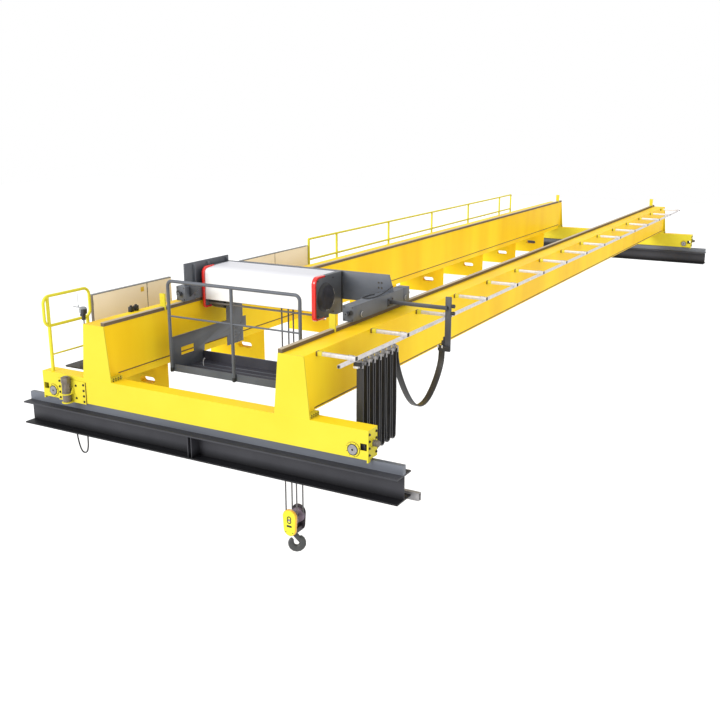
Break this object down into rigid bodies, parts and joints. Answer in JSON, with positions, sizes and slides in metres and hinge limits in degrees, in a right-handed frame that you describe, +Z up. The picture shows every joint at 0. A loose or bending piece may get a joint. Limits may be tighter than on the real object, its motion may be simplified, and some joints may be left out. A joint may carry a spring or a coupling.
{
  "type": "overhead bridge crane",
  "caption": "Double-girder overhead travelling crane on runway beams, with a hoist trolley, maintenance platform, festoon cable, walkway and hook block.",
  "frame": {"origin": "underside of the near runway beam, under the bridge's middle plane", "axes": "+X along the runway, +Y along the bridge towards the far runway, +Z up"},
  "size_m": [4.965, 16.299, 3.668],
  "materials": {
    "crane_yellow": "satin",
    "runway_charcoal": "satin",
    "rail_steel": "satin",
    "galvanised": "satin",
    "hoist_white": "gloss",
    "hoist_red": "gloss",
    "trolley_grey": "satin",
    "panel_beige": "satin",
    "walkway_dark": "matte",
    "cast_wheel": "satin",
    "bearing_steel": "satin",
    "buffer_rubber": "matte",
    "cable_black": "satin",
    "rope_steel": "satin",
    "hook_iron": "satin",
    "post_grey": "satin"
  },
  "bodies": {
    "runway": {"runway_beam_near": "runway_charcoal", "runway_beam_far": "runway_charcoal", "runway_rails": "rail_steel", "conductor_rail": "galvanised"},
    "bridge": {"end_carriage_near": "crane_yellow", "end_carriage_far": "crane_yellow", "carriage_end_plates": "crane_yellow", "carriage_buffers": "buffer_rubber", "wheel_bearing_caps": "bearing_steel", "girder_left": "crane_yellow", "girder_right": "crane_yellow", "girder_end_plates": "crane_yellow", "trolley_rails": "rail_steel", "trolley_end_stops": "crane_yellow", "walkway_floor": "walkway_dark", "walkway_brackets": "crane_yellow", "walkway_handrail": "crane_yellow", "walkway_guard": "crane_yellow", "electrical_panels": "panel_beige", "warning_post": "post_grey", "guide_roller_bracket": "crane_yellow", "festoon_arms": "galvanised", "festoon_track": "galvanised", "festoon_end_clamp": "galvanised", "collector_arm": "galvanised", "collector_cable": "cable_black", "festoon_cable_stack": "cable_black", "festoon_cable_loop": "cable_black"},
    "trolley": {"trolley_beam_left": "trolley_grey", "trolley_beam_right": "trolley_grey", "trolley_rear_beam": "trolley_grey", "trolley_side_plate": "trolley_grey", "hoist_cover": "hoist_white", "hoist_trims": "hoist_red", "hoist_end_caps": "trolley_grey", "hoist_gear_case": "trolley_grey", "rope_drum": "trolley_grey", "hoist_tie_rod": "trolley_grey", "platform_tray": "trolley_grey", "platform_hangers": "trolley_grey", "platform_handrail": "trolley_grey", "tow_arm": "trolley_grey", "hoist_ropes": "rope_steel"},
    "hook_block": {"hook_block": "crane_yellow"},
    "hook_sheaves": {"hook_sheaves": "cast_wheel"},
    "hook": {"hook": "hook_iron"},
    "guide_roller": {"guide_roller": "bearing_steel"},
    "runway_wheel_near_left": {"runway_wheel_near_left": "cast_wheel"},
    "runway_wheel_near_right": {"runway_wheel_near_right": "cast_wheel"},
    "runway_wheel_far_left": {"runway_wheel_far_left": "cast_wheel"},
    "runway_wheel_far_right": {"runway_wheel_far_right": "cast_wheel"},
    "trolley_wheels_near": {"trolley_wheels_near": "cast_wheel"},
    "trolley_wheels_far": {"trolley_wheels_far": "cast_wheel"},
    "festoon_carrier_1": {"festoon_carrier_1": "galvanised"},
    "festoon_carrier_2": {"festoon_carrier_2": "galvanised"},
    "festoon_carrier_3": {"festoon_carrier_3": "galvanised"},
    "festoon_carrier_4": {"festoon_carrier_4": "galvanised"},
    "festoon_carrier_5": {"festoon_carrier_5": "galvanised"},
    "festoon_carrier_6": {"festoon_carrier_6": "galvanised"}
  },
  "joints": [
    {"name": "long_travel", "type": "slide", "parent": "runway", "child": "bridge", "axis": [1, 0, 0], "range_m": [-0.2, 0.2]},
    {"name": "cross_travel", "type": "slide", "parent": "bridge", "child": "trolley", "axis": [0, 1, 0], "range_m": [-0.25, 13.1], "deforming": ["festoon_cable_stack", "festoon_cable_loop"]},
    {"name": "hook_lift", "type": "slide", "parent": "trolley", "child": "hook_block", "axis": [0, 0, 1], "range_m": [-3.5, 2.3], "deforming": ["hoist_ropes"]},
    {"name": "hook_swivel", "type": "hinge", "parent": "hook_block", "child": "hook", "pos_m": [0.04, 1.79, -1.6], "axis": [0, 0, 1], "continuous": true},
    {"name": "hook_sheave_turn", "type": "hinge", "parent": "hook_block", "child": "hook_sheaves", "pos_m": [0.04, 1.79, -1.417], "axis": [0, 1, 0], "range_deg": [-2700, 2700]},
    {"name": "runway_wheel_near_left_turn", "type": "hinge", "parent": "bridge", "child": "runway_wheel_near_left", "pos_m": [-1.962, 0, 0.4533], "axis": [0, 1, 0], "range_deg": [-200, 200]},
    {"name": "runway_wheel_near_right_turn", "type": "hinge", "parent": "bridge", "child": "runway_wheel_near_right", "pos_m": [1.962, 0, 0.4533], "axis": [0, 1, 0], "range_deg": [-200, 200]},
    {"name": "runway_wheel_far_left_turn", "type": "hinge", "parent": "bridge", "child": "runway_wheel_far_left", "pos_m": [-1.962, 15.95, 0.4533], "axis": [0, 1, 0], "range_deg": [-200, 200]},
    {"name": "runway_wheel_far_right_turn", "type": "hinge", "parent": "bridge", "child": "runway_wheel_far_right", "pos_m": [1.962, 15.95, 0.4533], "axis": [0, 1, 0], "range_deg": [-200, 200]},
    {"name": "guide_roller_turn", "type": "hinge", "parent": "bridge", "child": "guide_roller", "pos_m": [-1.7, -0.15, 0.416], "axis": [0, 0, 1], "continuous": true},
    {"name": "trolley_wheels_near_turn", "type": "hinge", "parent": "trolley", "child": "trolley_wheels_near", "pos_m": [0, 1.412, 1.3923], "axis": [1, 0, 0], "range_deg": [-11600, 400]},
    {"name": "trolley_wheels_far_turn", "type": "hinge", "parent": "trolley", "child": "trolley_wheels_far", "pos_m": [0, 2.472, 1.3923], "axis": [1, 0, 0], "range_deg": [-11600, 400]},
    {"name": "festoon_carrier_1_slide", "type": "slide", "parent": "bridge", "child": "festoon_carrier_1", "axis": [0, 1, 0], "range_m": [-0.0377, 1.8734]},
    {"name": "festoon_carrier_2_slide", "type": "slide", "parent": "bridge", "child": "festoon_carrier_2", "axis": [0, 1, 0], "range_m": [-0.0734, 3.7449]},
    {"name": "festoon_carrier_3_slide", "type": "slide", "parent": "bridge", "child": "festoon_carrier_3", "axis": [0, 1, 0], "range_m": [-0.1091, 5.6163]},
    {"name": "festoon_carrier_4_slide", "type": "slide", "parent": "bridge", "child": "festoon_carrier_4", "axis": [0, 1, 0], "range_m": [-0.1449, 7.4877]},
    {"name": "festoon_carrier_5_slide", "type": "slide", "parent": "bridge", "child": "festoon_carrier_5", "axis": [0, 1, 0], "range_m": [-0.1806, 9.3591]},
    {"name": "festoon_carrier_6_slide", "type": "slide", "parent": "bridge", "child": "festoon_carrier_6", "axis": [0, 1, 0], "range_m": [-0.2163, 11.2306]}
  ],
  "couplings": [
    {"joint": "hook_sheave_turn", "follows": "hook_lift", "rad_per_m": 12.346},
    {"joint": "runway_wheel_near_left_turn", "follows": "long_travel", "rad_per_m": 10.417},
    {"joint": "runway_wheel_near_right_turn", "follows": "long_travel", "rad_per_m": 10.417},
    {"joint": "runway_wheel_far_left_turn", "follows": "long_travel", "rad_per_m": 10.417},
    {"joint": "runway_wheel_far_right_turn", "follows": "long_travel", "rad_per_m": 10.417},
    {"joint": "trolley_wheels_near_turn", "follows": "cross_travel", "rad_per_m": -15.152},
    {"joint": "trolley_wheels_far_turn", "follows": "cross_travel", "rad_per_m": -15.152},
    {"joint": "festoon_carrier_1_slide", "follows": "cross_travel", "ratio": 0.14286},
    {"joint": "festoon_carrier_2_slide", "follows": "cross_travel", "ratio": 0.28571},
    {"joint": "festoon_carrier_3_slide", "follows": "cross_travel", "ratio": 0.42857},
    {"joint": "festoon_carrier_4_slide", "follows": "cross_travel", "ratio": 0.57143},
    {"joint": "festoon_carrier_5_slide", "follows": "cross_travel", "ratio": 0.71429},
    {"joint": "festoon_carrier_6_slide", "follows": "cross_travel", "ratio": 0.85714}
  ]
}
